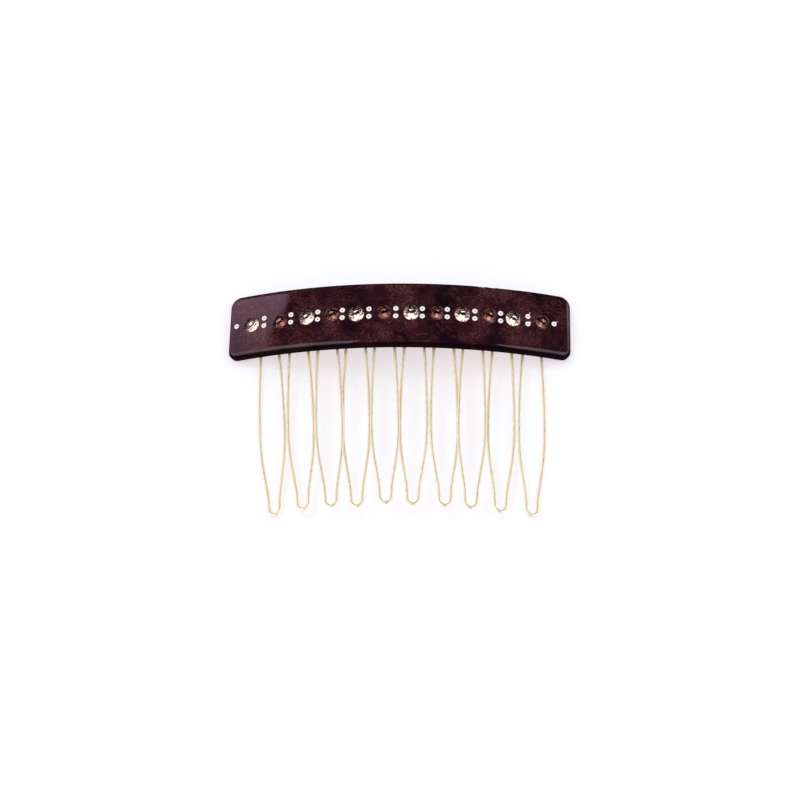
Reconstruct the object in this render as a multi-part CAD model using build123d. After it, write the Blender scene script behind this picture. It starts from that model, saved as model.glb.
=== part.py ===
from build123d import *
from math import acos, asin, atan2, cos, degrees, radians, sin, tan
import os

# Decorative hair comb: a bent acetate plate with set stones and metal pins on its front,
# and a row of sprung wire teeth held by a folded brass spine on its back. Millimetres.
#
# The plate is bent round an axis parallel to the teeth, as the head is. The comb lies on its
# back with the decorated front up: +X runs along the plate, +Y from the tooth tips to the
# plate's top edge, +Z up. Each piece is drawn with the crown of the front face at z = 0 and
# the plate's middle at y = 0, and the whole comb is then stood on z = 0, centred in X and Y.

# Plate
PLATE_WIDTH = 85.8          # straight across, before the ends are rounded; 85.0 after
PLATE_HEIGHT = 17.0         # along the teeth
PLATE_THICKNESS = 2.6
BEND_RADIUS = 114.0         # of the front face
TOP_CORNER_RADIUS = 2.9
BOTTOM_CORNER_RADIUS = 2.0
FRONT_EDGE_ROUND = 1.3
BACK_EDGE_ROUND = 0.3
LENGTH_TOLERANCE = 0.1 * PLATE_THICKNESS    # when an edge is picked out by its length

# Row of stones and pins along the plate's middle
STONE_COUNT = 12
END_PIN_INSET = 3.55        # from the plate's end to an end pin of a centred row, along the face
PALE_STONE_DIAMETER = 3.6
BROWN_STONE_DIAMETER = 3.2
TABLE_SHARE = 0.55          # flat top of a stone, as a share of its diameter
CROWN_HEIGHT = 0.6
GIRDLE_HEIGHT = 0.12
PAVILION_SLOPE = 40.0       # degrees from the girdle down to the point
CULET_DIAMETER = 0.5
STONE_PROUD = 0.12          # table above the plate's face
GLUE_GAP = 0.05
SOCKET_BEVEL = 0.22         # open ring round each stone
PIN_DIAMETER = 1.3
PIN_LENGTH = 1.5
PIN_PROUD = 0.06
PIN_EDGE_ROUND = 0.15
PIN_CLEARANCE = 0.02
PIN_SPACING = 2.05          # between the two pins of a pair

# The row was marked out by hand, off the middle and unevenly: how far each pin place and
# each stone lies from its place in an even row, along the plate and up it
ROW_SHIFT = -1.2
PIN_SHIFT = [0.0, 0.8, 1.2, 1.4, 0.9, 0.8, 0.7, 0.5, -0.1, 0.0, -0.3, -0.1, 0.0]
STONE_SHIFT = [0.8, 1.7, 1.9, 1.7, 1.0, 1.2, 1.1, 0.8, 0.3, 0.4, -0.4, 0.3]
STONE_RISE = [-0.2, -0.5, -0.2, 0.0, -0.2, 0.0, -0.1, 0.0, -0.1, 0.1, -0.1, 0.0]

# Folded spine on the plate's back
SPINE_HEIGHT = 6.0
SPINE_SHEET = 0.3
SPINE_OVERHANG = 0.5        # past the outer legs of the end teeth
SPINE_ABOVE_EDGE = 1.8      # from the plate's lower edge to the spine's mouth
SPINE_FOLD_ROUND = 0.35
BACK_GAP = 0.02
RIVET_DIAMETER = 1.2
RIVET_DEPTH = 1.4           # into the plate
RIVET_CLEARANCE = 0.03
RIVET_HEAD_DIAMETER = 2.6
RIVET_HEAD_HEIGHT = 0.6
RIVET_SEAT_GAP = 0.02       # the flat head lies on a bent face

# Wire teeth
TOOTH_COUNT = 10
END_TOOTH_INSET = 9.83      # from the plate's end to the middle of the end tooth
WIRE_DIAMETER = 0.8
WIRE_CLEARANCE = 0.05
LAYER_STEP = 0.375 * WIRE_DIAMETER      # front and back teeth apart in the spine
TOOTH_REACH = 40.7          # below the plate's lower edge
NECK_HALF_WIDTH = 2.48      # at the plate's lower edge
BELLY_SPACING = WIRE_DIAMETER + WIRE_CLEARANCE      # between the wires' middles at the bellies
BELLY_BELOW_EDGE = 20.0
LEG_END_GAP = 0.3
TIP_RADIUS = 1.35
TIP_TAPER = 3.0             # degrees, each side
TIP_STRAIGHT = 3.2
KINK_RADIUS = 2.5
LOWER_BOW_TIGHTNESS = 0.85
LEG_BEND_RADIUS = 8.0
LEG_BEND_ABOVE_EDGE = 1.3

# The teeth were set by hand: each is shifted, turned and cut a little differently, and
# where two bellies cross, one tooth is tilted less and passes in front of the other.
TOOTH_SHIFT = [0.5, 0.8, 0.9, 0.6, 0.4, 0.4, 0.3, 0.1, 0.1, 0.4]
TOOTH_LEAN = [3.3, 3.0, 3.1, 1.6, 1.7, 0.5, 1.3, -0.1, 0.1, 0.1]
TOOTH_EXTRA = [1.0, 0.2, 0.6, 0.1, 0.1, -0.3, -0.2, 0.7, 0.5, 1.0]
TOOTH_TILT = [3.0, 3.0, 1.0, 3.0, 1.0, 3.0, 3.0, 1.0, 2.6, 1.3]
FRONT_TILT_LIMIT = 1.2      # teeth tilted less than this lie in the front layer

# Derived
BACK_RADIUS = BEND_RADIUS - PLATE_THICKNESS
END_ANGLE = asin(PLATE_WIDTH / 2 / BEND_RADIUS)
FRONT_ARC = 2 * END_ANGLE * BEND_RADIUS
LOWER_EDGE = -PLATE_HEIGHT / 2
SPINE_MOUTH = LOWER_EDGE + SPINE_ABOVE_EDGE
SPINE_TOP = SPINE_MOUTH + SPINE_HEIGHT
SPINE_MIDDLE = (SPINE_MOUTH + SPINE_TOP) / 2
CHANNEL_GAP = WIRE_DIAMETER + LAYER_STEP + 2 * WIRE_CLEARANCE
SPINE_OUTER = BACK_RADIUS - BACK_GAP
CHANNEL_OUTER = SPINE_OUTER - SPINE_SHEET
CHANNEL_INNER = CHANNEL_OUTER - CHANNEL_GAP
SPINE_INNER = CHANNEL_INNER - SPINE_SHEET
TOOTH_RADIUS = (CHANNEL_OUTER + CHANNEL_INNER) / 2
TOOTH_PITCH = (FRONT_ARC - 2 * END_TOOTH_INSET) / (TOOTH_COUNT - 1) * TOOTH_RADIUS / BEND_RADIUS
BELLY_HALF_WIDTH = (TOOTH_PITCH - BELLY_SPACING) / 2
PIN_STEP = (FRONT_ARC - 2 * END_PIN_INSET) / STONE_COUNT
BEND_AXIS = Axis((0, 0, -BEND_RADIUS), (0, 1, 0))


def on_bend(distance, y, radius):
    """Frame on the bent surface: x along the plate, y up it, z straight out of it."""
    angle = distance / BEND_RADIUS
    out = Vector(sin(angle), 0, cos(angle))
    along = Vector(cos(angle), 0, -sin(angle))
    place = out * radius + Vector(0, y, -BEND_RADIUS)
    return Plane(origin=place, x_dir=along, z_dir=out)


def turned(outline, frame=Plane.XY):
    """Round piece from (radius, height) corners, turned about the frame's z."""
    wire = Polyline(*[(r, 0, h) for r, h in outline], close=True)
    return frame.location * revolve(make_face(wire), Axis.Z)


def bent_band(outer, inner, low, high, start, end):
    """Band between two radii of the bend, from low to high in y and between two angles."""
    corners = [(inner, low), (outer, low), (outer, high), (inner, high)]
    wire = Polyline(*[(0, y, r - BEND_RADIUS) for r, y in corners], close=True)
    band = revolve(make_face(wire), BEND_AXIS, revolution_arc=degrees(end - start))
    return band.rotate(BEND_AXIS, degrees(start))


def upright_edges(solid):
    """The short straight edges through the plate's thickness."""
    return [
        edge
        for edge in solid.edges().filter_by(GeomType.LINE)
        if abs(edge.length - PLATE_THICKNESS) < LENGTH_TOLERANCE
    ]


def plate_blank():
    """Bent plate with rounded corners and polished edges, before it is drilled."""
    plate = bent_band(BEND_RADIUS, BACK_RADIUS, LOWER_EDGE, -LOWER_EDGE, -END_ANGLE, END_ANGLE)
    plate = fillet([e for e in upright_edges(plate) if e.center().Y > 0], TOP_CORNER_RADIUS)
    low = [e for e in upright_edges(plate) if e.center().Y < LOWER_EDGE + BOTTOM_CORNER_RADIUS / 2]
    plate = fillet(low, BOTTOM_CORNER_RADIUS)
    back = plate.faces().filter_by(GeomType.CYLINDER).sort_by(SortBy.AREA)[-2]
    plate = fillet(back.edges(), BACK_EDGE_ROUND)
    front = plate.faces().filter_by(GeomType.CYLINDER).sort_by(SortBy.AREA)[-1]
    return fillet(front.edges(), FRONT_EDGE_ROUND)


# Stones and pins

def row_distance(place):
    """Where a place of the even row lies along the front face, pins being whole numbers."""
    return (place - STONE_COUNT / 2) * PIN_STEP + ROW_SHIFT


def pin_distance(index):
    return row_distance(index) + PIN_SHIFT[index]


def stone_distance(index):
    return row_distance(index + 0.5) + STONE_SHIFT[index]


def stone_size(index):
    """Diameter of a stone: pale and brown ones take turns."""
    return PALE_STONE_DIAMETER if index % 2 == 0 else BROWN_STONE_DIAMETER


def stone_frame(index):
    """Frame at the middle of a stone's table."""
    return on_bend(stone_distance(index), STONE_RISE[index], BEND_RADIUS + STONE_PROUD)


def pavilion_depth(radius):
    """Height of the cone below a girdle or seat of this radius."""
    return (radius - CULET_DIAMETER / 2) * tan(radians(PAVILION_SLOPE))


def stone(index):
    """Cut stone: flat table, sloping crown, thin girdle and pointed pavilion."""
    radius = stone_size(index) / 2
    girdle_top = -CROWN_HEIGHT
    girdle_bottom = girdle_top - GIRDLE_HEIGHT
    culet = girdle_bottom - pavilion_depth(radius)
    outline = [
        (0, 0),
        (radius * TABLE_SHARE, 0),
        (radius, girdle_top),
        (radius, girdle_bottom),
        (CULET_DIAMETER / 2, culet),
        (0, culet),
    ]
    return turned(outline, stone_frame(index))


def stone_socket(index):
    """Drilled seat of a stone: bevelled mouth, straight wall and a cone for the pavilion."""
    radius = stone_size(index) / 2 + GLUE_GAP
    seat = -CROWN_HEIGHT - GIRDLE_HEIGHT
    floor = seat - pavilion_depth(stone_size(index) / 2) - GLUE_GAP
    face = -STONE_PROUD
    above = face + PLATE_THICKNESS
    mouth = radius + SOCKET_BEVEL
    outline = [
        (0, above),
        (mouth, above),
        (mouth, face),
        (radius, face - SOCKET_BEVEL),
        (radius, seat),
        (CULET_DIAMETER / 2 + GLUE_GAP, floor),
        (0, floor),
    ]
    return turned(outline, stone_frame(index))


def pin_frame(index, y):
    return on_bend(pin_distance(index), y, BEND_RADIUS)


def pin(index, y):
    """Metal pin standing a hair above the plate, with a softened rim."""
    body = Cylinder(PIN_DIAMETER / 2, PIN_LENGTH + PIN_PROUD, align=(Align.CENTER, Align.CENTER, Align.MAX))
    rim = body.edges().sort_by(Axis.Z)[-1]
    body = Pos(0, 0, PIN_PROUD) * fillet(rim, PIN_EDGE_ROUND)
    return pin_frame(index, y).location * body


def pin_hole(index, y):
    radius = PIN_DIAMETER / 2 + PIN_CLEARANCE
    outline = [(0, -PIN_LENGTH), (radius, -PIN_LENGTH), (radius, PIN_LENGTH), (0, PIN_LENGTH)]
    return turned(outline, pin_frame(index, y))


def pin_places():
    """Name, place along the row and height of every pin, from left to right."""
    half = PIN_SPACING / 2
    places = [("pin_left_end", 0, 0.0)]
    for index in range(1, STONE_COUNT):
        places.append((f"pin_upper_{index:02d}", index, half))
        places.append((f"pin_lower_{index:02d}", index, -half))
    places.append(("pin_right_end", STONE_COUNT, 0.0))
    return places


# Teeth

def tooth_distance(index):
    """Place of a tooth along the bend, measured at the teeth's own radius."""
    return (index - (TOOTH_COUNT - 1) / 2) * TOOTH_PITCH + TOOTH_SHIFT[index]


def tooth_place(index):
    """Place of a leaning tooth in the spine: y up its middle, z out of the bend."""
    front = TOOTH_TILT[index] < FRONT_TILT_LIMIT
    radius = TOOTH_RADIUS + (LAYER_STEP / 2 if front else -LAYER_STEP / 2)
    distance = tooth_distance(index) * BEND_RADIUS / TOOTH_RADIUS
    frame = on_bend(distance, LOWER_EDGE + LEG_BEND_ABOVE_EDGE, radius)
    return frame.location * Rot(0, 0, TOOTH_LEAN[index])


def tangent_run(centre, radius, point):
    """Angle at which an arc leaves for a point along a straight tangent."""
    away = Vector(*point) - Vector(*centre)
    return atan2(away.Y, away.X) + acos(radius / away.length)


def tooth_half(reach, tilt):
    """Right half of a tooth's centre line, from the U at its tip to the leg's top end.

    The visible part is flat, in the tooth's own plane z = 0 with the bend into the
    spine at y = 0; the leg above it is turned back by the tilt.
    """
    edge = -LEG_BEND_ABOVE_EDGE
    belly_y = edge - BELLY_BELOW_EDGE
    tip_y = edge - reach
    taper = radians(TIP_TAPER)

    # U and straight tip leg
    middle_y = tip_y + TIP_RADIUS + WIRE_DIAMETER / 2
    bottom = (0, middle_y - TIP_RADIUS)
    tip_start = (TIP_RADIUS * cos(taper), middle_y - TIP_RADIUS * sin(taper))
    kink = (tip_start[0] + TIP_STRAIGHT * sin(taper), tip_start[1] + TIP_STRAIGHT * cos(taper))

    # Lower bow, from the belly down to the straight run into the kink
    side = BELLY_HALF_WIDTH - kink[0]
    drop = belly_y - kink[1]
    lower_radius = LOWER_BOW_TIGHTNESS * (side**2 + drop**2) / (2 * side)
    lower_centre = (BELLY_HALF_WIDTH - lower_radius, belly_y)
    lower_angle = tangent_run(lower_centre, lower_radius, kink)
    lower_end = (
        lower_centre[0] + lower_radius * cos(lower_angle),
        lower_centre[1] + lower_radius * sin(lower_angle),
    )
    lower_middle = (
        lower_centre[0] + lower_radius * cos(lower_angle / 2),
        lower_centre[1] + lower_radius * sin(lower_angle / 2),
    )
    belly = (BELLY_HALF_WIDTH, belly_y)

    # Upper bow, through the neck at the plate's edge and up to the bend
    spread = BELLY_HALF_WIDTH - NECK_HALF_WIDTH
    upper_radius = (spread**2 + BELLY_BELOW_EDGE**2) / (2 * spread)
    bend_length = LEG_BEND_RADIUS * tan(radians(tilt) / 2)
    rise = asin((-bend_length - belly_y) / upper_radius)
    upper_centre = BELLY_HALF_WIDTH - upper_radius
    upper_end = (upper_centre + upper_radius * cos(rise), belly_y + upper_radius * sin(rise))
    upper_middle = (
        upper_centre + upper_radius * cos(rise / 2),
        belly_y + upper_radius * sin(rise / 2),
    )

    # Bend out of the tooth's plane, and the leg held in the spine
    up_wire = Vector(-sin(rise), cos(rise), 0)
    corner = Vector(*upper_end) + up_wire * bend_length
    up_leg = up_wire.rotate(Axis.X, -tilt)
    leg_start = corner + up_leg * bend_length
    leg_y = SPINE_TOP - SPINE_SHEET - LEG_END_GAP - LOWER_EDGE - LEG_BEND_ABOVE_EDGE
    leg_top = leg_start + up_leg * ((leg_y - leg_start.Y) / up_leg.Y)

    return [
        ThreePointArc(bottom, arc_middle(middle_y), tip_start),
        *kinked(tip_start, kink, lower_end),
        ThreePointArc(lower_end, lower_middle, belly),
        ThreePointArc(belly, upper_middle, upper_end),
        TangentArc(upper_end, leg_start, tangent=up_wire),
        Line(leg_start, leg_top),
    ]


def arc_middle(middle_y):
    """Middle of the quarter turn from the bottom of the U to its leg."""
    angle = radians(-45 - TIP_TAPER / 2)
    return (TIP_RADIUS * cos(angle), middle_y + TIP_RADIUS * sin(angle))


def kinked(start, corner, end):
    """Straight runs into and out of a corner that is rounded by the kink's radius."""
    first = (Vector(*corner) - Vector(*start)).normalized()
    second = (Vector(*end) - Vector(*corner)).normalized()
    cut = KINK_RADIUS * tan(radians(first.get_angle(second)) / 2)
    before = Vector(*corner) - first * cut
    after = Vector(*corner) + second * cut
    return [Line(start, before), TangentArc(before, after, tangent=first), Line(after, end)]


def tooth(index):
    """One hairpin of round wire, both legs running up into the spine."""
    tilt = TOOTH_TILT[index]
    right = tooth_half(TOOTH_REACH + TOOTH_EXTRA[index], tilt)
    left = [edge.mirror(Plane.YZ) for edge in right]
    path = Wire([*right, *left])
    section = Plane(origin=path @ 0, z_dir=path % 0) * Circle(WIRE_DIAMETER / 2)
    wire = sweep(section, path=path)
    return tooth_place(index) * Rot(tilt, 0, 0) * wire


# Spine and rivets

def rivet_distances():
    """Places of the three rivets: in the second tooth from each end, and mid-way."""
    middle = TOOTH_COUNT // 2
    centre = (tooth_distance(middle - 1) + tooth_distance(middle)) / 2
    return [tooth_distance(1), centre, tooth_distance(TOOTH_COUNT - 2)]


def spine():
    """Brass sheet folded over the tops of the teeth, open towards their tips."""
    reach = NECK_HALF_WIDTH + WIRE_DIAMETER / 2 + SPINE_OVERHANG
    left = (tooth_distance(0) - reach) / TOOTH_RADIUS
    right = (tooth_distance(TOOTH_COUNT - 1) + reach) / TOOTH_RADIUS
    folded = bent_band(SPINE_OUTER, SPINE_INNER, SPINE_MOUTH, SPINE_TOP, left, right)
    top = folded.faces().sort_by(Axis.Y)[-1]
    long_edges = top.edges().filter_by(GeomType.CIRCLE)
    folded = fillet(long_edges, SPINE_FOLD_ROUND)
    channel_top = SPINE_TOP - SPINE_SHEET
    below = SPINE_MOUTH - SPINE_SHEET
    folded -= bent_band(CHANNEL_OUTER, CHANNEL_INNER, below, channel_top, 2 * left, 2 * right)
    for distance in rivet_distances():
        folded -= rivet_shape(distance, RIVET_CLEARANCE, SPINE_HEIGHT)
    return folded


def rivet_frame(distance):
    """Frame under a rivet's head, on the spine's inner face, z pointing out at the plate."""
    place = distance * BEND_RADIUS / TOOTH_RADIUS
    return on_bend(place, SPINE_MIDDLE, SPINE_INNER - RIVET_SEAT_GAP)


def rivet_shape(distance, clearance, depth):
    """Shank of a rivet, or the hole for one, reaching depth beyond the frame."""
    radius = RIVET_DIAMETER / 2 + clearance
    shank = Cylinder(radius, depth, align=(Align.CENTER, Align.CENTER, Align.MIN))
    return rivet_frame(distance).location * shank


def rivet_length():
    return RIVET_SEAT_GAP + BACK_RADIUS - SPINE_INNER + RIVET_DEPTH


def rivet(distance):
    """Rivet with a domed head under the spine and a shank set into the plate's back."""
    shank = RIVET_DIAMETER / 2
    head = RIVET_HEAD_DIAMETER / 2
    profile = [
        Line((shank, 0, 0), (shank, 0, rivet_length())),
        Line((shank, 0, rivet_length()), (0, 0, rivet_length())),
        Line((0, 0, rivet_length()), (0, 0, -RIVET_HEAD_HEIGHT)),
        ThreePointArc(
            (0, 0, -RIVET_HEAD_HEIGHT),
            (head * sin(radians(45)), 0, -RIVET_HEAD_HEIGHT * cos(radians(45))),
            (head, 0, 0),
        ),
        Line((head, 0, 0), (shank, 0, 0)),
    ]
    return rivet_frame(distance).location * revolve(make_face(profile), Axis.Z)


def front_plate():
    """The plate with its stone sockets, pin holes and blind rivet holes."""
    plate = plate_blank()
    for index in range(STONE_COUNT):
        plate -= stone_socket(index)
    for _, index, y in pin_places():
        plate -= pin_hole(index, y)
    for distance in rivet_distances():
        plate -= rivet_shape(distance, RIVET_CLEARANCE, rivet_length() + RIVET_CLEARANCE)
    return plate


def all_pieces():
    """Every node of the comb by name, in the drawing frame."""
    pieces = {"front_plate": front_plate(), "spine": spine()}
    for index in range(STONE_COUNT):
        kind = "pale" if index % 2 == 0 else "brown"
        pieces[f"{kind}_stone_{index + 1:02d}"] = stone(index)
    for name, index, y in pin_places():
        pieces[name] = pin(index, y)
    for index in range(TOOTH_COUNT):
        pieces[f"tooth_{index + 1:02d}"] = tooth(index)
    for name, distance in zip(("left", "middle", "right"), rivet_distances()):
        pieces[f"rivet_{name}"] = rivet(distance)
    return pieces


def main():
    pieces = all_pieces()
    box = Compound(list(pieces.values())).bounding_box()
    middle = box.center()
    stand = Pos(-middle.X, -middle.Y, -box.min.Z)
    os.makedirs("parts", exist_ok=True)
    for name, piece in pieces.items():
        export_step(stand * piece, f"parts/{name}.step")


main()
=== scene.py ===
from math import atan, cos, degrees, pi, radians, sin, tan

import bmesh
import bpy
from mathutils import Matrix, Vector


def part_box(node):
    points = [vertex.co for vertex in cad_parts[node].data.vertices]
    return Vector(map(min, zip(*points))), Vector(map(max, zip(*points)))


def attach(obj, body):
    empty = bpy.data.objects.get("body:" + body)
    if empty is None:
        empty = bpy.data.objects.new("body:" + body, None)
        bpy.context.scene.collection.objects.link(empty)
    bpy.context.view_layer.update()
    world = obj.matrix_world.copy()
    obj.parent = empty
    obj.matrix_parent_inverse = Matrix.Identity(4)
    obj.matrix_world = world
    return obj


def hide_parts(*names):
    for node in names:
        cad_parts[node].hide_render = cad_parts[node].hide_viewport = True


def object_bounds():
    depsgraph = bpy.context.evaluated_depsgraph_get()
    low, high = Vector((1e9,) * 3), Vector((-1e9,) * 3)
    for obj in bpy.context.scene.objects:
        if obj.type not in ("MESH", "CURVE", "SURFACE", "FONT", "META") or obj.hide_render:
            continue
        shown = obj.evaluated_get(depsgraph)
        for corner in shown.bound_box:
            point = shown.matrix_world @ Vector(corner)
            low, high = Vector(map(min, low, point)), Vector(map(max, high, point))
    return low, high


# Decorative hair comb: bent acetate plate with a row of set stones and metal pins, and ten
# gilt wire teeth in a folded brass spine. The plate, teeth, spine and rivets are the packed
# nodes with their finishes; each stone is cut here facet by facet and each pin is turned here.

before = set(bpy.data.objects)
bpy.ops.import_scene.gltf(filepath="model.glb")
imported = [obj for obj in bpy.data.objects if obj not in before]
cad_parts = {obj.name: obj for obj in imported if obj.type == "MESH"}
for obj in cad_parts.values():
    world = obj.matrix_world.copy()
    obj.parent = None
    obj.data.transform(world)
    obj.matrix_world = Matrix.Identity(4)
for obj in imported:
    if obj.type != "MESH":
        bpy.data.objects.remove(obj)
cad_low, cad_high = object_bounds()

MM = 0.001

# Sizes of the comb that the finishes and the cut pieces follow, in millimetres
BEND_RADIUS = 114.0
PLATE_THICKNESS = 2.6
STONE_COUNT = 12
PALE_DIAMETER = 3.6
BROWN_DIAMETER = 3.2
TABLE_SHARE = 0.55
CROWN_HEIGHT = 0.6
GIRDLE_HEIGHT = 0.12
PAVILION_SLOPE = 40.0
CULET_RADIUS = 0.25
STONE_PROUD = 0.12
PIN_RADIUS = 0.65
PIN_PROUD = 0.06
PIN_LENGTH = 1.5
HOLLOW_RADIUS = 0.22

# How deep below the face the polish of the plate's rounded edge starts and ends to fade, and
# from where along the plate and up it the ends and the top edge lose it sooner. Past the polish
# the edges are painted near-black: painted shade.
FACE_POLISH_DEPTH = (0.16, 0.42)
END_SHADE_ZONE = (40.9, 41.9)
TOP_SHADE_ZONE = (6.5, 7.6)

# Each field of streaks in the acetate: how the streaks lie, in degrees, and its shift
STREAK_FIELDS = ((-62.0, 7.0), (48.0, -19.0), (10.0, 31.0))


# Shader maths

class Field:
    """A value that changes over a surface. Arithmetic on it adds Math nodes."""

    def __init__(self, nodes, socket):
        self.nodes = nodes
        self.socket = socket

    def math(self, operation, first, second):
        return self.nodes.add("ShaderNodeMath", {"operation": operation}, {0: first, 1: second})

    def __add__(self, other):
        return self.math("ADD", self, other)

    def __radd__(self, other):
        return self.math("ADD", other, self)

    def __sub__(self, other):
        return self.math("SUBTRACT", self, other)

    def __rsub__(self, other):
        return self.math("SUBTRACT", other, self)

    def __mul__(self, other):
        return self.math("MULTIPLY", self, other)

    def __rmul__(self, other):
        return self.math("MULTIPLY", other, self)


class Nodes:
    """The node tree of one finish, and the few kinds of node that the finishes share."""

    def __init__(self, tree):
        self.tree = tree

    def add(self, kind, settings, sockets, output=0):
        """A node of any kind: its settings first, then its sockets' values or links."""
        node = self.tree.nodes.new(kind)
        for name, value in settings.items():
            setattr(node, name, value)
        for key, value in sockets.items():
            self.feed(node.inputs[key], value)
        return Field(self, node.outputs[output])

    def feed(self, socket, value):
        if isinstance(value, Field):
            self.tree.links.new(value.socket, socket)
        elif socket.type == "RGBA" and len(value) == 3:
            socket.default_value = (*value, 1.0)
        else:
            socket.default_value = value

    def millimetres(self, stretch=(1.0, 1.0, 1.0), turn=0.0, shift=(0.0, 0.0, 0.0)):
        """Place on the comb in millimetres, turned about Z, then stretched."""
        place = self.add("ShaderNodeTexCoord", {}, {}, output="Object")
        return self.add(
            "ShaderNodeMapping",
            {"vector_type": "TEXTURE"},
            {
                "Vector": place,
                "Location": tuple(part * MM for part in shift),
                "Rotation": (0.0, 0.0, radians(turn)),
                "Scale": tuple(MM / part for part in stretch),
            },
        )

    def noise(self, place, scale, detail=2.0, roughness=0.5, distortion=0.0, output="Fac"):
        sockets = {
            "Vector": place,
            "Scale": scale,
            "Detail": detail,
            "Roughness": roughness,
            "Distortion": distortion,
        }
        return self.add("ShaderNodeTexNoise", {}, sockets, output=output)

    def spread(self, value, low, high, to_low=0.0, to_high=1.0):
        """Value from low to high spread smoothly over another range, and held at its ends."""
        sockets = {"Value": value, 1: low, 2: high, 3: to_low, 4: to_high}
        return self.add("ShaderNodeMapRange", {"interpolation_type": "SMOOTHSTEP"}, sockets)

    def mix(self, factor, first, second):
        return self.add(
            "ShaderNodeMix", {"data_type": "RGBA"}, {0: factor, 6: first, 7: second}, output=2
        )

    def vector(self, operation, first, second=(0.0, 0.0, 0.0), output=0):
        """Vector Math; output 1 is the number that Length and Dot Product give."""
        sockets = {0: first, 1: second}
        return self.add("ShaderNodeVectorMath", {"operation": operation}, sockets, output=output)

    def part(self, vector, axis):
        return self.add("ShaderNodeSeparateXYZ", {}, {0: vector}, output=axis)

    def size(self, value):
        """Value without its sign."""
        return self.add("ShaderNodeMath", {"operation": "ABSOLUTE"}, {0: value})

    def ray(self, kind):
        return self.add("ShaderNodeLightPath", {}, {}, output=f"Is {kind} Ray")

    def offset(self, place, push, amount):
        """A place pushed about by a noise colour, for swirls."""
        centred = self.vector("SUBTRACT", push, (0.5, 0.5, 0.5))
        return self.add(
            "ShaderNodeVectorMath",
            {"operation": "MULTIPLY_ADD"},
            {0: centred, 1: (amount, amount, amount), 2: place},
        )

    def bump(self, height, strength, distance):
        """Bump whose distance is in millimetres."""
        sockets = {"Height": height, "Strength": strength, "Distance": distance * MM}
        return self.add("ShaderNodeBump", {}, sockets)


class Finish(Nodes):
    """A material made from a Principled shader."""

    def __init__(self, name, **uniform):
        self.material = bpy.data.materials.new(name)
        self.material.use_nodes = True
        super().__init__(self.material.node_tree)
        self.shader = self.tree.nodes["Principled BSDF"]
        for socket, value in uniform.items():
            self.surface(socket.replace("_", " "), value)

    def surface(self, socket, value):
        self.feed(self.shader.inputs[socket], value)


# Finishes

def pearl_clouds(finish, warp, swirled):
    """How pearly the acetate is: clouds with dark hollows, and fields of combed streaks."""
    cloud = finish.noise(swirled, 0.12, detail=4.0, roughness=0.6)
    mottle = finish.noise(swirled, 0.9, detail=3.0, roughness=0.7)
    glow = finish.spread(cloud * 0.8 + mottle * 0.35, 0.5, 0.8)
    for turn, shift in STREAK_FIELDS:
        combed = finish.millimetres(stretch=(0.5, 4.4, 1.0), turn=turn)
        dashes = finish.spread(finish.noise(combed, 1.0, detail=2.0, roughness=0.7), 0.52, 0.68)
        field_place = finish.offset(finish.millimetres(shift=(shift, shift, 0.0)), warp, 9.0)
        field = finish.spread(finish.noise(field_place, 0.13, detail=1.0), 0.54, 0.66)
        glow = glow + dashes * field * 0.9
    return glow


def polished_parts(finish, place):
    """Where the plate is polished: its face down to its edges, and its back. Elsewhere the edges
    are dull, and the acetate paints them near-black as shade.
    """
    axis = plate_crown() - Vector((0, 0, BEND_RADIUS))
    from_axis = finish.vector("SUBTRACT", place, tuple(axis))
    outward = finish.vector("MULTIPLY", from_axis, (1.0, 0.0, 1.0))
    sunk = BEND_RADIUS - finish.vector("LENGTH", outward, output=1)

    # The ends and the top edge lose their polish, and their painted dark shade starts, nearer to
    # the face than on the lower edge
    ends = finish.spread(finish.size(finish.part(from_axis, "X")), *END_SHADE_ZONE)
    top = finish.spread(finish.part(from_axis, "Y"), *TOP_SHADE_ZONE)
    gloss_and_shade_depth = sunk * (1.0 + (ends + top) * 1.4)
    face = finish.spread(gloss_and_shade_depth, *reversed(FACE_POLISH_DEPTH))
    back = finish.spread(sunk, PLATE_THICKNESS - 0.2, PLATE_THICKNESS - 0.05)
    return face, back


def pearl_acetate():
    """Dark plum acetate with folded pearl swirls and a fine coppery glitter under the polish."""
    finish = Finish(
        "plum_pearl_acetate",
        Specular_IOR_Level=0.0,
        Coat_Roughness=0.02,
        Coat_IOR=1.5,
    )
    place = finish.millimetres()
    warp = finish.noise(place, 0.08, detail=2.0, output="Color")
    swirled = finish.offset(place, warp, 12.0)
    glow = pearl_clouds(finish, warp, swirled)

    # Glitter grains, a few tenths of a millimetre across
    grain = finish.noise(place, 3.6, detail=2.0, roughness=0.8)
    sparks = finish.spread(grain, 0.47, 0.66)

    depth = finish.spread(finish.noise(swirled, 0.2, detail=2.0), 0.35, 0.65)
    plum = finish.mix(depth, (0.0062, 0.0008, 0.0034), (0.019, 0.0034, 0.0072))
    pearl = finish.mix(sparks, (0.034, 0.0078, 0.0102), (0.168, 0.064, 0.058))
    face, back = polished_parts(finish, place)
    # Past the polish the edges are painted near-black: painted shade
    painted_edge_shade = (1.0 - face) * (1.0 - back) * 0.85
    colour = finish.mix(painted_edge_shade, finish.mix(glow, plum, pearl), (0.004, 0.001, 0.003))
    finish.surface("Base Color", colour)
    finish.surface("Coat Weight", 0.03 + face * 0.97 + back * 0.6)
    finish.surface("Roughness", finish.spread(grain, 0.3, 0.7, 0.6, 0.42))
    return finish.material


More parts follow.
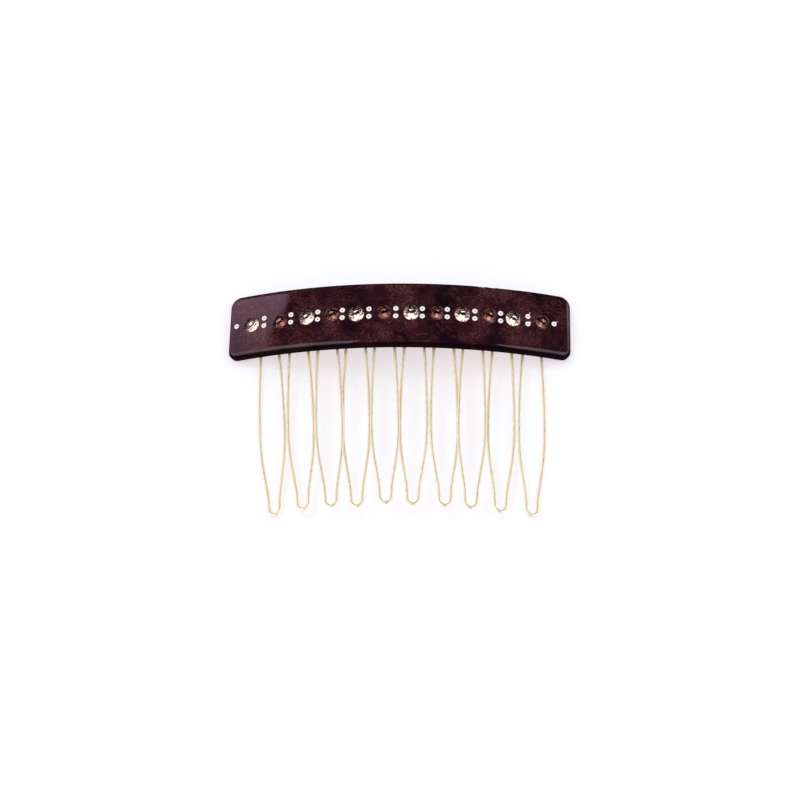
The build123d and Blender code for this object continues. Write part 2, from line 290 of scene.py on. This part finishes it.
def plated_wire():
    """Pale gilt wire with marks along it from drawing and a faint uneven tarnish."""
    finish = Finish("gilt_wire", IOR=1.45)
    along = finish.noise(finish.millimetres(stretch=(9.0, 0.35, 9.0)), 1.0, detail=3.0)
    tarnish = finish.noise(finish.millimetres(), 0.35, detail=4.0, roughness=0.6)
    colour = finish.mix(finish.spread(tarnish, 0.35, 0.72), (0.95, 0.90, 0.70), (0.90, 0.82, 0.56))
    colour = finish.mix(finish.spread(along, 0.55, 0.8) * 0.25, colour, (0.56, 0.47, 0.25))
    finish.surface("Base Color", colour)
    finish.surface("Metallic", finish.spread(tarnish, 0.3, 0.7, 0.62, 0.5))
    finish.surface("Roughness", finish.spread(along + tarnish * 0.5, 0.5, 1.1, 0.26, 0.42))
    finish.surface("Normal", finish.bump(along, 0.05, 0.004))
    return finish.material


def brass(name, light, dark):
    """Brushed and slightly browned brass sheet."""
    finish = Finish(name, Metallic=1.0)
    along = finish.millimetres(stretch=(0.25, 9.0, 9.0))
    brushed = finish.noise(along, 1.0, detail=4.0, roughness=0.6)
    stain = finish.noise(finish.millimetres(), 0.3, detail=5.0, roughness=0.65, distortion=0.4)
    finish.surface("Base Color", finish.mix(finish.spread(stain, 0.38, 0.7), light, dark))
    finish.surface("Roughness", finish.spread(brushed + stain * 0.4, 0.45, 0.95, 0.26, 0.44))
    finish.surface("Normal", finish.bump(brushed, 0.2, 0.012))
    return finish.material


def pin_metal(name, light, dark):
    """Bright warm-white metal, turned and lightly scratched by polishing."""
    finish = Finish(name)
    across = finish.millimetres(stretch=(14.0, 2.0, 14.0), turn=-40.0)
    scratch = finish.noise(across, 1.0, detail=4.0)
    colour = finish.mix(finish.spread(scratch, 0.4, 0.75), light, dark)
    finish.surface("Base Color", colour)
    finish.surface("Metallic", finish.spread(scratch, 0.3, 0.7, 0.08, 0.28))
    finish.surface("Roughness", finish.spread(scratch, 0.3, 0.7, 0.5, 0.62))
    finish.surface("Normal", finish.bump(scratch, 0.1, 0.006))
    return finish.material


def crystal(name, light, deep):
    """Clear cut glass with a faint uneven tint."""
    finish = Finish(name, IOR=1.56, Transmission_Weight=1.0)
    place = finish.millimetres()
    finish.surface("Base Color", finish.mix(finish.noise(place, 0.9, detail=1.0), light, deep))
    finish.surface("Roughness", finish.spread(finish.noise(place, 2.5), 0.3, 0.8, 0.0, 0.02))
    return finish.material


def foil(name, light, deep):
    """Mirror foil behind a stone, seen through the glass."""
    finish = Finish(name, Metallic=1.0)
    wear = finish.noise(finish.millimetres(), 1.3, detail=3.0)
    finish.surface("Base Color", finish.mix(finish.spread(wear, 0.35, 0.7), light, deep))
    finish.surface("Roughness", finish.spread(wear, 0.3, 0.8, 0.03, 0.1))
    return finish.material


def paper():
    """Pale matt sheet that glows faintly as well, so the comb's shadows stay faint."""
    finish = Finish("pale_sheet", Specular_IOR_Level=0.05, Emission_Strength=1.0)
    fibre = finish.noise(finish.millimetres(), 0.9, detail=5.0, roughness=0.6)
    thick = finish.spread(fibre, 0.3, 0.7)
    colour = finish.mix(thick, (0.345, 0.466, 0.452), (0.355, 0.476, 0.462))
    # The glow is pinker than the sheet's own greenish colour, so lit parts read neutral and the
    # faint shadows turn pink: painted light
    painted_glow = finish.mix(thick, (0.608, 0.482, 0.532), (0.618, 0.492, 0.542))
    finish.surface("Base Color", colour)
    finish.surface("Emission Color", painted_glow)
    finish.surface("Roughness", finish.spread(fibre, 0.3, 0.7, 0.85, 0.95))
    return finish.material


# Pieces

def new_piece(name, mesh, materials, node):
    """Finished mesh in metres as a piece that stands for one CAD node."""
    data = bpy.data.meshes.new(name)
    mesh.to_mesh(data)
    mesh.free()
    piece = bpy.data.objects.new(name, data)
    bpy.context.scene.collection.objects.link(piece)
    for material in materials:
        data.materials.append(material)
    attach(piece, "root")
    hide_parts(node)
    return piece


def place_on_face(mesh, distance, rise, proud, spin=0.0):
    """Puts a piece drawn in millimetres at the origin on the plate's bent face, in metres."""
    matrix = (
        Matrix.Scale(MM, 4)
        @ Matrix.Translation(plate_crown() - Vector((0, 0, BEND_RADIUS)))
        @ Matrix.Rotation(distance / BEND_RADIUS, 4, "Y")
        @ Matrix.Translation((0, rise, BEND_RADIUS + proud))
        @ Matrix.Rotation(radians(spin), 4, "Z")
    )
    bmesh.ops.transform(mesh, matrix=matrix, verts=mesh.verts)


def grind(stone, azimuth, slope, reach, depth):
    """Grinds one facet: a plane at this slope, through a point at this reach and depth."""
    out = 1.0 if slope > 0 else -1.0
    tilt = radians(abs(slope))
    turn = radians(azimuth)
    normal = Vector((sin(tilt) * cos(turn), sin(tilt) * sin(turn), out * cos(tilt)))
    point = Vector((reach * cos(turn), reach * sin(turn), depth))
    cut = bmesh.ops.bisect_plane(
        stone,
        geom=stone.verts[:] + stone.edges[:] + stone.faces[:],
        dist=1e-5,
        plane_co=point,
        plane_no=normal,
        clear_outer=True,
    )
    rim = [part for part in cut["geom_cut"] if isinstance(part, bmesh.types.BMEdge)]
    if len(rim) > 2:
        bmesh.ops.contextual_create(stone, geom=rim)


def cut_stone(diameter):
    """Round brilliant: table, stars, kites and girdle facets above, two rows of facets below."""
    radius = diameter / 2
    table = radius * TABLE_SHARE
    pavilion = (radius - CULET_RADIUS) * tan(radians(PAVILION_SLOPE))
    seat = -CROWN_HEIGHT - GIRDLE_HEIGHT
    bottom = seat - pavilion
    kite_slope = atan(CROWN_HEIGHT / (radius - table))
    upper_slope = kite_slope + radians(5.5)

    # The stars meet the girdle facets where those meet the kites
    eighth = radians(22.5)
    half_eighth = radians(11.25)
    meet = (CROWN_HEIGHT - radius * tan(upper_slope) + table * tan(kite_slope)) / (
        cos(eighth) * tan(kite_slope) - cos(half_eighth) * tan(upper_slope)
    )
    meet_depth = (meet * cos(eighth) - table) * tan(kite_slope)
    star_slope = atan(meet_depth / (meet - table * cos(eighth)))

    stone = bmesh.new()
    bmesh.ops.create_cone(
        stone, cap_ends=True, segments=64, radius1=radius, radius2=radius, depth=-bottom,
        matrix=Matrix.Translation((0, 0, bottom / 2)),
    )
    for step in range(8):
        turn = step * 45.0
        grind(stone, turn, degrees(kite_slope), table, 0.0)
        grind(stone, turn, -PAVILION_SLOPE, radius, seat)
    for step in range(16):
        turn = (step + 0.5) * 22.5
        grind(stone, turn, degrees(upper_slope), radius, -CROWN_HEIGHT)
        grind(stone, turn, -PAVILION_SLOPE - 0.7, radius, seat)
    for step in range(8):
        grind(stone, (step + 0.5) * 45.0, degrees(star_slope), table * cos(eighth), 0.0)
    bmesh.ops.remove_doubles(stone, verts=stone.verts, dist=1e-4)
    bmesh.ops.recalc_face_normals(stone, faces=stone.faces)
    for face in stone.faces:
        face.material_index = 1 if face.normal.z < -0.1 else 0
        face.smooth = abs(face.normal.z) < 0.05
    return stone


def turned_pin(tail):
    """Turned pin with a softened rim and a hollow middle, and a smear at its side if told."""
    pin = bmesh.new()
    profile = [
        (0.0, -0.1), (0.08, -0.12), (0.15, -0.14), (0.19, -0.1),
        (HOLLOW_RADIUS, -0.02), (0.26, 0.042), (0.3, PIN_PROUD), (0.4, 0.059), (0.5, 0.05),
        (0.57, 0.03),
        (0.62, 0.004), (0.643, -0.03), (PIN_RADIUS, -0.08),
        (PIN_RADIUS, -PIN_LENGTH + 0.06), (PIN_RADIUS - 0.06, -PIN_LENGTH), (0.0, -PIN_LENGTH),
    ]
    points = [pin.verts.new((reach, 0.0, height)) for reach, height in profile]
    edges = [pin.edges.new(pair) for pair in zip(points, points[1:])]
    bmesh.ops.spin(
        pin, geom=points + edges, cent=(0, 0, 0), axis=(0, 0, 1), angle=2 * pi,
        steps=40, use_merge=True,
    )
    bmesh.ops.remove_doubles(pin, verts=pin.verts, dist=1e-4)
    bmesh.ops.recalc_face_normals(pin, faces=pin.faces)
    if tail:
        add_smear(pin, *tail)
    # Faces in the hollow take the darker second metal: painted shade
    for face in pin.faces:
        face.smooth = True
        middle = face.calc_center_median()
        in_hollow = middle.z > -0.2 and middle.xy.length < HOLLOW_RADIUS
        face.material_index = 1 if in_hollow else 0
    return pin


def add_smear(pin, length, width, direction):
    """Thin tapering burr drawn out of the pin's rim over the plate's face."""
    start = PIN_RADIUS * 0.55
    burr = bmesh.ops.create_cube(pin, size=1.0)["verts"]
    top = 0.045
    bottom = -0.03
    for vert in burr:
        far = vert.co.x > 0
        side = 1.0 if vert.co.y > 0 else -1.0
        reach = start + (length if far else 0.0)
        half = width / 2 * (0.12 if far else 1.0)
        height = bottom if vert.co.z < 0 else (0.012 if far else top)
        vert.co = Vector((reach, side * half, height))
    turn = Matrix.Rotation(radians(direction), 3, "Z")
    bmesh.ops.rotate(pin, verts=burr, cent=(0, 0, 0), matrix=turn)


# Smears left when the row was polished: length and width in millimetres, direction in degrees
SMEARS = {
    "pin_lower_01": (0.62, 0.42, 48.0),
    "pin_upper_11": (1.1, 0.34, 62.0),
    "pin_lower_11": (0.68, 0.62, 42.0),
    "pin_right_end": (0.88, 0.36, 45.0),
}


def plate_crown():
    """Highest line of the plate's face, at the plate's middle, in millimetres."""
    low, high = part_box("front_plate")
    return Vector(((low.x + high.x) / 2, (low.y + high.y) / 2, high.z)) / MM


def place_in_row(node):
    """How far along and up the face a stone or pin is set, in millimetres."""
    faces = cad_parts[node].data.polygons
    area = sum(face.area for face in faces)
    middle = sum((face.center * face.area for face in faces), Vector()) / area / MM
    middle -= plate_crown()
    return atan(middle.x / (middle.z + BEND_RADIUS)) * BEND_RADIUS, middle.y


def stones():
    pale = [
        crystal("pale_crystal_glass", (1.0, 0.945, 0.91), (0.99, 0.91, 0.86)),
        foil("pale_crystal_foil", (0.94, 0.88, 0.84), (0.86, 0.77, 0.70)),
    ]
    brown = [
        crystal("brown_crystal_glass", (0.90, 0.70, 0.66), (0.82, 0.60, 0.54)),
        foil("brown_crystal_foil", (0.46, 0.28, 0.25), (0.33, 0.18, 0.155)),
    ]
    for index in range(STONE_COUNT):
        is_pale = index % 2 == 0
        kind = "pale" if is_pale else "brown"
        name = f"{kind}_stone_{index + 1:02d}"
        stone = cut_stone(PALE_DIAMETER if is_pale else BROWN_DIAMETER)
        place_on_face(stone, *place_in_row(name), STONE_PROUD, spin=index * 17.0)
        new_piece(f"cut_{name}", stone, pale if is_pale else brown, name)


def pins():
    metals = [
        pin_metal("pin_metal", (0.99, 0.95, 0.93), (0.88, 0.83, 0.79)),
        # The second metal is darker and goes in each pin's hollow as painted shade
        pin_metal("pin_hollow_shade", (0.44, 0.40, 0.37), (0.24, 0.20, 0.18)),
    ]
    names = ["pin_left_end", "pin_right_end"]
    for row in ("upper", "lower"):
        names += [f"pin_{row}_{place:02d}" for place in range(1, STONE_COUNT)]
    for name in names:
        pin = turned_pin(SMEARS.get(name))
        place_on_face(pin, *place_in_row(name), 0.0)
        new_piece(f"turned_{name}", pin, metals, name)


def finish_node(name, material):
    """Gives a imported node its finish."""
    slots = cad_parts[name].data.materials
    slots.clear()
    slots.append(material)


def finish_nodes():
    finish_node("front_plate", pearl_acetate())
    wire = plated_wire()
    for index in range(1, 11):
        finish_node(f"tooth_{index:02d}", wire)
    finish_node("spine", brass("spine_brass", (0.78, 0.60, 0.30), (0.52, 0.36, 0.15)))
    rivet = brass("rivet_brass", (0.83, 0.67, 0.38), (0.60, 0.43, 0.20))
    for place in ("left", "middle", "right"):
        finish_node(f"rivet_{place}", rivet)


# Camera, floor and light

CAMERA_DISTANCE = 0.5


def set_camera():
    """Looks down on the comb from a little in front of the tips, slightly turned."""
    target = (plate_crown() + Vector((1.05, -23.87, 0.0))) * MM
    azimuth, elevation, roll = radians(6.99), radians(64.76), radians(-6.40)
    back = Vector((sin(azimuth) * cos(elevation), -cos(azimuth) * cos(elevation), sin(elevation)))
    level = Vector((0, 0, 1)).cross(back).normalized()
    upright = back.cross(level)
    right = level * cos(roll) + upright * sin(roll)
    up = upright * cos(roll) - level * sin(roll)
    camera = bpy.data.objects.new("camera", bpy.data.cameras.new("camera"))
    camera.data.lens = 93.4
    camera.data.sensor_width = 36.0
    camera.data.clip_start = 0.01
    camera.data.clip_end = 10.0
    turn = Matrix((right, up, back)).transposed()
    camera.matrix_world = Matrix.Translation(target + back * CAMERA_DISTANCE) @ turn.to_4x4()
    bpy.context.scene.collection.objects.link(camera)
    bpy.context.scene.camera = camera


def lay_floor():
    mesh = bmesh.new()
    bmesh.ops.create_grid(mesh, x_segments=8, y_segments=8, size=3.0)
    bmesh.ops.translate(mesh, verts=mesh.verts, vec=(0, 0, cad_low.z - 0.00002))
    data = bpy.data.meshes.new("floor")
    mesh.to_mesh(data)
    mesh.free()
    floor = bpy.data.objects.new("floor", data)
    data.materials.append(paper())
    bpy.context.scene.collection.objects.link(floor)


def softbox(name, direction, distance, side, brightness):
    """Square lamp facing the comb from this direction, not mirrored in its polish."""
    light = bpy.data.lights.new(name, "AREA")
    light.shape = "SQUARE"
    light.size = side
    light.energy = brightness * side * side * pi
    lamp = bpy.data.objects.new(name, light)
    away = Vector(direction).normalized()
    lamp.rotation_mode = "QUATERNION"
    lamp.rotation_quaternion = away.to_track_quat("Z", "Y")
    lamp.location = away * distance
    lamp.visible_glossy = False
    lamp.visible_transmission = False
    bpy.context.scene.collection.objects.link(lamp)


def mirrored_walls(nodes, across, ahead):
    """What the polish mirrors: bright walls at both sides and a dark band between them."""
    sideways = nodes.size(across - 0.08)
    widening = nodes.spread(ahead, -0.1, 0.38, 0.29, 0.65)
    edge = widening - nodes.spread(ahead, 0.444, 0.468, 0.0, 0.075)
    walls = nodes.spread(sideways - edge, 0.0, 0.025)
    front = nodes.spread(ahead, -0.1, 0.3, 1.6, 0.8)
    behind = nodes.spread(ahead, 0.435, 0.468, 0.0, 1.2)
    fading = nodes.spread(ahead, 0.5, 0.66, 1.0, 0.0)
    return 0.05 + walls * (front + behind) * fading


def seen_through_stones(nodes, direction):
    """What the cut glass gathers: light from all round, with a dark patch above the front."""
    patch = Vector((0.05, -0.30, 0.95)).normalized()
    nearness = nodes.vector("DOT_PRODUCT", direction, tuple(patch), output=1)
    return 2.1 - nodes.spread(nearness, cos(radians(27.0)), cos(radians(18.0))) * 2.0


def light_studio():
    """Even pale room with walls for the polish to mirror, and three soft lamps."""
    scene = bpy.context.scene
    scene.view_settings.view_transform = "Standard"
    scene.world = bpy.data.worlds.new("studio")
    scene.world.use_nodes = True
    nodes = Nodes(scene.world.node_tree)
    direction = nodes.add("ShaderNodeTexCoord", {}, {}, output="Generated")
    across = nodes.part(direction, "X")
    ahead = nodes.part(direction, "Y")
    refracted = nodes.ray("Transmission")
    plain = nodes.ray("Diffuse") + nodes.ray("Camera")

    mirrored = mirrored_walls(nodes, across, ahead)
    mirrored = mirrored + refracted * (seen_through_stones(nodes, direction) - mirrored)
    strength = mirrored + plain * (0.82 - mirrored)

    mauve = nodes.spread(across, -0.25, -0.4) * nodes.spread(ahead, 0.25, 0.4)
    wall = nodes.mix(mauve, (1.0, 0.92, 0.95), (1.0, 0.6, 0.82))
    wall = nodes.mix(refracted, wall, (1.0, 0.95, 0.97))
    colour = nodes.mix(plain, wall, (0.995, 0.985, 1.0))

    background = scene.world.node_tree.nodes["Background"]
    nodes.feed(background.inputs["Color"], colour)
    nodes.feed(background.inputs["Strength"], strength)
    softbox("key_lamp", (-0.42, 0.40, 0.85), distance=0.9, side=0.30, brightness=4.9)
    softbox("fill_lamp", (-0.1, 0.1, 1.0), distance=1.1, side=0.9, brightness=0.45)
    softbox("right_lamp", (0.62, 0.1, 0.78), distance=1.0, side=0.6, brightness=1.1)


stones()
pins()
finish_nodes()
set_camera()
lay_floor()
light_studio()
